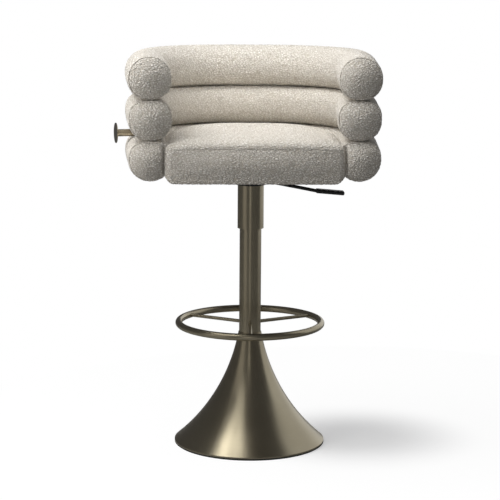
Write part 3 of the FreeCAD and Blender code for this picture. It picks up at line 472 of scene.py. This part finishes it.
def add(tree, kind, values=None, **settings):
    """A new shader node with plain settings and unlinked input values."""
    item = tree.nodes.new(f"ShaderNode{kind}")
    for key, value in settings.items():
        setattr(item, key, value)
    for key, value in (values or {}).items():
        item.inputs[key].default_value = value
    return item


def mix_colour(tree, factor, first, second):
    item = add(tree, "Mix", data_type="RGBA")
    for socket, value in (("A", first), ("B", second)):
        target = [s for s in item.inputs if s.name == socket and s.type == "RGBA"][0]
        if isinstance(value, tuple):
            target.default_value = (*value, 1)
        else:
            tree.links.new(value, target)
    tree.links.new(factor, item.inputs["Factor"])
    return [s for s in item.outputs if s.type == "RGBA"][0]


def mapped(tree, source, low, unshaded_share, to_low=0.0, to_high=1.0):
    item = add(tree, "MapRange", {"From Min": low, "From Max": unshaded_share, "To Min": to_low, "To Max": to_high})
    tree.links.new(source, item.inputs["Value"])
    return item.outputs["Result"]


def noise(tree, place, scale, **values):
    """A noise texture read at a place, with any other input named in plain words."""
    settings = {key.capitalize(): value for key, value in values.items()}
    item = add(tree, "TexNoise", {"Scale": scale, **settings})
    tree.links.new(place, item.inputs["Vector"])
    return item


def object_place(tree, scale=(1, 1, 1), rotation=(0, 0, 0)):
    """Object coordinates in metres, scaled and then turned."""
    where = add(tree, "TexCoord")
    mapping = add(tree, "Mapping", {"Rotation": rotation, "Scale": scale})
    tree.links.new(where.outputs["Object"], mapping.inputs["Vector"])
    return mapping.outputs["Vector"]


def bump(tree, shader, height, strength, distance):
    item = add(tree, "Bump", {"Strength": strength, "Distance": distance})
    tree.links.new(height, item.inputs["Height"])
    tree.links.new(item.outputs["Normal"], shader.inputs["Normal"])


def loop_place(tree):
    """Where to read the yarn: stretched along a lean, and shaken so that no two loops are alike."""
    leaning = object_place(tree, scale=(0.66, 0.8, 1.0), rotation=(0, math.radians(24), 0))
    wave = noise(tree, leaning, 160.0, detail=1.0)
    shake = add(tree, "VectorMath", {"Scale": 4 * MM}, operation="SCALE")
    tree.links.new(wave.outputs["Color"], shake.inputs[0])
    place = add(tree, "VectorMath", operation="ADD")
    tree.links.new(leaning, place.inputs[0])
    tree.links.new(shake.outputs["Vector"], place.inputs[1])
    return place.outputs["Vector"]


def boucle_material():
    """Cream looped wool: pale loops with painted shade darkening the gaps between them and the lower loops,
    fine curls and a slow change of tone.
    """
    # the first colour is painted shade, for the hollows between the loops
    gap_shade_colour, loop_colour = (0.51, 0.455, 0.37), (0.93, 0.895, 0.83)
    curl_colour, worn_colour = (0.88, 0.855, 0.81), (0.72, 0.67, 0.59)
    material, tree, shader = fresh("boucle_cream")
    where = add(tree, "TexCoord").outputs["Object"]
    yarn = add(tree, "TexVoronoi", {"Scale": 240.0, "Randomness": 0.8}, feature="DISTANCE_TO_EDGE")
    tree.links.new(loop_place(tree), yarn.inputs["Vector"])
    loops = mapped(tree, yarn.outputs["Distance"], 0.0, 0.19)
    nub = add(tree, "Attribute", attribute_name="nub")
    # painted shade: the lower a loop stands, the darker it is coloured
    low_nub_shade = mapped(tree, nub.outputs["Fac"], 0.05, 0.60, 0.62, 1.0)
    unshaded_share = add(tree, "Math", operation="MULTIPLY")
    tree.links.new(loops, unshaded_share.inputs[0])
    tree.links.new(low_nub_shade, unshaded_share.inputs[1])
    # painted shade: the gap colour at the loops' edges and on low loops, the pale loop colour on their tops
    colour = mix_colour(tree, unshaded_share.outputs[0], gap_shade_colour, loop_colour)
    curls = noise(tree, where, 700.0, detail=3.0, roughness=0.65, distortion=1.2)
    speck = mapped(tree, curls.outputs["Fac"], 0.35, 0.7, 0.0, 0.18)
    colour = mix_colour(tree, speck, colour, curl_colour)
    cloud = noise(tree, where, 14.0, detail=2.0)
    tone = mapped(tree, cloud.outputs["Fac"], 0.3, 0.7, 0.0, 0.10)
    colour = mix_colour(tree, tone, colour, worn_colour)
    tree.links.new(colour, shader.inputs["Base Color"])
    shader.inputs["Roughness"].default_value = 0.95
    shader.inputs["Specular IOR Level"].default_value = 0.2
    shader.inputs["Sheen Weight"].default_value = 0.2
    shader.inputs["Sheen Roughness"].default_value = 0.6
    relief = add(tree, "Math", {1: 0.35}, operation="MULTIPLY_ADD")     # the curls stand on the loops
    tree.links.new(curls.outputs["Fac"], relief.inputs[0])
    tree.links.new(loops, relief.inputs[2])
    bump(tree, shader, relief.outputs[0], 0.9, 1.4 * MM)
    return material


def brushed_grain(tree, where, lines):
    """Fine lines round the Z axis: noise that changes quickly with height and slowly with the angle."""
    split = add(tree, "SeparateXYZ")
    tree.links.new(where, split.inputs["Vector"])
    angle = add(tree, "Math", operation="ARCTAN2")
    tree.links.new(split.outputs["Y"], angle.inputs[0])
    tree.links.new(split.outputs["X"], angle.inputs[1])
    around = add(tree, "Math", {1: 3.0}, operation="MULTIPLY")
    tree.links.new(angle.outputs[0], around.inputs[0])
    height = add(tree, "Math", {1: lines}, operation="MULTIPLY")
    tree.links.new(split.outputs["Z"], height.inputs[0])
    join = add(tree, "CombineXYZ")
    tree.links.new(around.outputs[0], join.inputs["X"])
    tree.links.new(height.outputs[0], join.inputs["Z"])
    return noise(tree, join.outputs["Vector"], 1.0, detail=4.0, roughness=0.6).outputs["Fac"]


def brass_material(name, base, dark, roughness, anisotropy, lines):
    """Lacquered antique brass, brushed round its axis."""
    material, tree, shader = fresh(name)
    where = add(tree, "TexCoord").outputs["Object"]
    grain = brushed_grain(tree, where, lines)
    patina = noise(tree, where, 11.0, detail=3.0)
    tone = mapped(tree, patina.outputs["Fac"], 0.35, 0.68, 0.0, 0.5)
    colour = mix_colour(tree, tone, base, dark)
    streak = mapped(tree, grain, 0.3, 0.7, 0.0, 0.22)
    colour = mix_colour(tree, streak, colour, dark)
    tree.links.new(colour, shader.inputs["Base Color"])
    shader.inputs["Metallic"].default_value = 1.0
    shader.inputs["Roughness"].default_value = roughness
    shader.inputs["Anisotropic"].default_value = anisotropy
    shader.inputs["Anisotropic Rotation"].default_value = 0.25      # a quarter turn: along the lines
    tangent = add(tree, "Tangent", direction_type="RADIAL", axis="Z")
    tree.links.new(tangent.outputs["Tangent"], shader.inputs["Tangent"])
    bump(tree, shader, grain, 0.12, 0.05 * MM)
    return material


def plain_material(name, base, other, roughness, metallic, grain, depth, scale=(1, 1, 1)):
    """A two-tone grained finish for moulded, cast, sawn or plated pieces."""
    material, tree, shader = fresh(name)
    speckle = noise(tree, object_place(tree, scale), grain, detail=4.0, roughness=0.6).outputs["Fac"]
    tone = mapped(tree, speckle, 0.35, 0.65)
    tree.links.new(mix_colour(tree, tone, base, other), shader.inputs["Base Color"])
    shine = mapped(tree, speckle, 0.3, 0.7, roughness * 0.85, min(roughness * 1.15, 1.0))
    tree.links.new(shine, shader.inputs["Roughness"])
    shader.inputs["Metallic"].default_value = metallic
    bump(tree, shader, speckle, 0.3, depth)
    return material


WOOD_GRAIN = (1, 8, 30)         # long along X, short across the plies
# name: colour, second colour, roughness, metallic, grain per metre, depth of the grain, stretch
PLAIN_FINISHES = {
    "dust_cloth": ((0.02, 0.02, 0.02), (0.045, 0.045, 0.045), 0.95, 0.0, 900.0, 0.3 * MM),
    "plywood": ((0.62, 0.46, 0.29), (0.47, 0.33, 0.19), 0.7, 0.0, 60.0, 0.2 * MM, WOOD_GRAIN),
    "black_steel": ((0.012, 0.012, 0.012), (0.022, 0.022, 0.021), 0.38, 0.0, 1400.0, 0.04 * MM),
    "mild_steel": ((0.34, 0.34, 0.35), (0.22, 0.21, 0.20), 0.5, 1.0, 120.0, 0.05 * MM),
    "zinc_steel": ((0.58, 0.59, 0.60), (0.44, 0.45, 0.46), 0.35, 1.0, 160.0, 0.03 * MM),
    "bearing_steel": ((0.62, 0.62, 0.63), (0.52, 0.52, 0.53), 0.18, 1.0, 200.0, 0.01 * MM),
    "cast_ballast": ((0.035, 0.035, 0.035), (0.06, 0.058, 0.055), 0.6, 0.3, 260.0, 0.4 * MM),
    "black_plastic": ((0.015, 0.015, 0.015), (0.03, 0.03, 0.03), 0.45, 0.0, 700.0, 0.05 * MM),
    "rubber": ((0.02, 0.02, 0.02), (0.035, 0.034, 0.033), 0.85, 0.0, 500.0, 0.1 * MM),
    # painted shade: plywood near black, so that the seat board's showing edge reads as shade
    "painted_shade_plywood": ((0.035, 0.030, 0.026), (0.060, 0.052, 0.044), 0.8, 0.0, 60.0, 0.2 * MM,
                        WOOD_GRAIN),
}


def finish_cad_nodes():
    """Give every CAD piece the material of its slot; the seat board is made near black instead, painted
    shade on its edge where it can show.
    """
    finishes = {name: plain_material(name, *values) for name, values in PLAIN_FINISHES.items()}
    finishes["brushed_brass"] = brass_material("brushed_brass", (0.50, 0.45, 0.33), (0.40, 0.35, 0.25),
                                               roughness=0.30, anisotropy=0.55, lines=900.0)
    finishes["polished_brass"] = brass_material("satin_brass", (0.52, 0.46, 0.35), (0.44, 0.38, 0.28),
                                                roughness=0.22, anisotropy=0.0, lines=300.0)
    for name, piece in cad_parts.items():
        for entry in piece.material_slots:
            label = entry.material.name.split(".")[0] if entry.material else ""
            # the seat board takes the near-black plywood, painted shade where its edge shows
            label = "painted_shade_plywood" if name == "seat_board" else label
            entry.material = finishes.get(label, finishes["mild_steel"])
        if not len(piece.material_slots):
            piece.data.materials.append(finishes["mild_steel"])


# ---------------------------------------------------------------- stage, light and camera
def aimed(centre, target):
    """The placement of something flat at a centre that faces a target."""
    way = Vector(target) - Vector(centre)
    return Matrix.Translation(centre) @ way.to_track_quat("-Z", "Y").to_matrix().to_4x4()


def rectangle(name, width, height):
    """A flat mesh object round its own origin."""
    mesh = bpy.data.meshes.new(name)
    w, h = width / 2, height / 2
    mesh.from_pydata([(-w, -h, 0), (w, -h, 0), (w, h, 0), (-w, h, 0)], [], [(0, 1, 2, 3)])
    obj = bpy.data.objects.new(name, mesh)
    bpy.context.scene.collection.objects.link(obj)
    return obj


def card(name, centre, target, width, height, strength, colour=(1, 1, 1)):
    """A glowing panel that shows only in reflections, where it gives the metal its bands of light."""
    obj = rectangle(name, width, height)
    obj.matrix_world = aimed(centre, target)
    material = bpy.data.materials.new(name)
    material.use_nodes = True
    tree = material.node_tree
    tree.nodes.clear()
    glow = add(tree, "Emission", {"Color": (*colour, 1), "Strength": strength})
    end = add(tree, "OutputMaterial")
    tree.links.new(glow.outputs[0], end.inputs["Surface"])
    obj.data.materials.append(material)
    obj.visible_camera = False
    obj.visible_shadow = False
    obj.visible_diffuse = False


def area_light(name, centre, target, size, power, colour, spread=180):
    """A square lamp that lights the cloth and the floor, and that the metal doesn't mirror."""
    lamp = bpy.data.lights.new(name, "AREA")
    lamp.shape = "SQUARE"
    lamp.size = size
    lamp.energy = power
    lamp.color = colour
    lamp.spread = math.radians(spread)
    obj = bpy.data.objects.new(name, lamp)
    bpy.context.scene.collection.objects.link(obj)
    obj.matrix_world = aimed(centre, target)
    obj.visible_glossy = False


def build_floor():
    """A pale floor that holds the stool's soft shadow and is plain white to the camera around it."""
    side = 40.0
    shadow_centre = (0.25, 0.03, 0)
    dim, bright = (0.26, 0.26, 0.26), (1.25, 1.25, 1.25)    # what the cloth sees and the camera sees
    floor = rectangle("studio_floor", side, side)
    material, tree, shader = fresh("studio_floor")
    tree.nodes.remove(shader)
    path = add(tree, "LightPath")
    pale = add(tree, "BsdfDiffuse")
    tree.links.new(mix_colour(tree, path.outputs["Is Camera Ray"], dim, bright), pale.inputs["Color"])
    # painted light: to the camera the floor also glows white, washing out the real cast shadow away from
    # shadow_centre and lightening it near there
    glow = add(tree, "Emission", {"Color": (1, 1, 1, 1), "Strength": 1.0})
    where = add(tree, "TexCoord")
    far = add(tree, "VectorMath", {1: shadow_centre}, operation="DISTANCE")
    tree.links.new(where.outputs["Object"], far.inputs[0])
    fade = add(tree, "MapRange", {"From Min": 0.06, "From Max": 0.32, "To Min": 0.34, "To Max": 0.94},
               interpolation_type="SMOOTHSTEP")
    tree.links.new(far.outputs["Value"], fade.inputs["Value"])
    white = add(tree, "Math", operation="MAXIMUM")
    tree.links.new(fade.outputs["Result"], white.inputs[0])
    tree.links.new(mapped(tree, far.outputs["Value"], 0.35, 1.0), white.inputs[1])
    seen = add(tree, "Math", operation="MULTIPLY")
    tree.links.new(white.outputs[0], seen.inputs[0])
    tree.links.new(path.outputs["Is Camera Ray"], seen.inputs[1])
    blend = add(tree, "MixShader")
    tree.links.new(seen.outputs[0], blend.inputs[0])
    tree.links.new(pale.outputs[0], blend.inputs[1])
    tree.links.new(glow.outputs[0], blend.inputs[2])
    tree.links.new(blend.outputs[0], tree.nodes["Material Output"].inputs["Surface"])
    floor.data.materials.append(material)


def build_world():
    """White to the camera, dim in reflections, and for the cloth grey, brightest from above and left."""
    brightest = (-0.60, -0.15, 0.78)
    world = bpy.data.worlds.new("studio")
    bpy.context.scene.world = world
    world.use_nodes = True
    tree = world.node_tree
    tree.nodes.clear()
    path = add(tree, "LightPath")
    seen = add(tree, "Background", {"Color": (1, 1, 1, 1), "Strength": 1.0})
    mirrored = add(tree, "Background", {"Color": (0.97, 0.96, 1, 1), "Strength": 0.075})
    soft = add(tree, "Background", {"Color": (0.98, 0.985, 1, 1)})
    where = add(tree, "TexCoord")
    facing = add(tree, "VectorMath", {1: brightest}, operation="DOT_PRODUCT")
    tree.links.new(where.outputs["Generated"], facing.inputs[0])
    tree.links.new(mapped(tree, facing.outputs["Value"], -1.0, 1.0, 0.05, 0.45), soft.inputs["Strength"])
    inner, outer = add(tree, "MixShader"), add(tree, "MixShader")
    tree.links.new(path.outputs["Is Glossy Ray"], inner.inputs[0])
    tree.links.new(soft.outputs[0], inner.inputs[1])
    tree.links.new(mirrored.outputs[0], inner.inputs[2])
    tree.links.new(path.outputs["Is Camera Ray"], outer.inputs[0])
    tree.links.new(inner.outputs[0], outer.inputs[1])
    tree.links.new(seen.outputs[0], outer.inputs[2])
    end = add(tree, "OutputWorld")
    tree.links.new(outer.outputs[0], end.inputs["Surface"])


def build_lights():
    seat, tub, foot = (0, 0, 0.75), (-0.04, 0.14, 0.80), (0, 0, 0.5)
    area_light("key_softbox", (-0.90, -0.32, 2.65), seat, size=1.15, power=34, colour=(1.0, 0.995, 0.99))
    area_light("left_fill", (-0.98, -0.52, 0.84), (0, -0.1, 0.75), size=0.6, power=4.2,
               colour=(1.0, 0.985, 0.97))
    area_light("top_soft", (0.12, -0.26, 1.60), (0, 0, 0.8), size=0.6, power=1.5,
               colour=(1.0, 0.99, 0.98))
    area_light("tub_fill", (0.05, -0.36, 1.08), tub, size=0.25, power=0.24, colour=(1.0, 0.98, 0.95),
               spread=80)
    card("key_mirrored", (-0.90, -0.45, 2.65), seat, 1.15, 1.15, 4.5, (1, 0.985, 0.95))
    card("high_panel", (-0.91, -1.16, 1.93), (0, 0, 0.3), 0.9, 1.0, 1.0, (1, 0.98, 0.94))
    card("left_panel", (-1.6, -1.1, 0.6), foot, 1.2, 1.6, 0.38, (1, 0.96, 0.92))
    card("front_strip", (-0.22, -2.2, 0.55), (0, 0, 0.45), 0.40, 1.6, 0.66, (1, 0.97, 0.93))
    card("right_side", (1.9, 0.75, 1.3), (0, 0.1, 0.5), 2.1, 2.6, 0.60)
    card("back_screen", (1.7, 2.6, 0.9), (0, 0, 0.6), 2.8, 2.4, 0.75)


def build_camera():
    """A long lens 4.3 m in front, a little above the stool and to the viewer's left, looking down."""
    distance, height = 4.300, 1.189
    heading, pitch, roll = math.radians(2.16), math.radians(9.72), 0.0069
    camera = bpy.data.objects.new("camera", bpy.data.cameras.new("camera"))
    camera.data.lens = 136.5
    camera.data.sensor_width = 36
    camera.data.shift_x = -0.0008
    camera.data.clip_start, camera.data.clip_end = 0.1, 60
    turn = Matrix.Rotation(-heading, 4, "Z") @ Matrix.Rotation(math.pi / 2 - pitch, 4, "X")
    turn = turn @ Matrix.Rotation(roll, 4, "Z")
    place = (-distance * math.sin(heading), -distance * math.cos(heading), height)
    camera.matrix_world = Matrix.Translation(place) @ turn
    bpy.context.scene.collection.objects.link(camera)
    bpy.context.scene.camera = camera
    bpy.context.scene.view_settings.view_transform = "Standard"


# ---------------------------------------------------------------- make it
build_camera()
build_world()
build_floor()
build_lights()
finish_cad_nodes()
upholster()
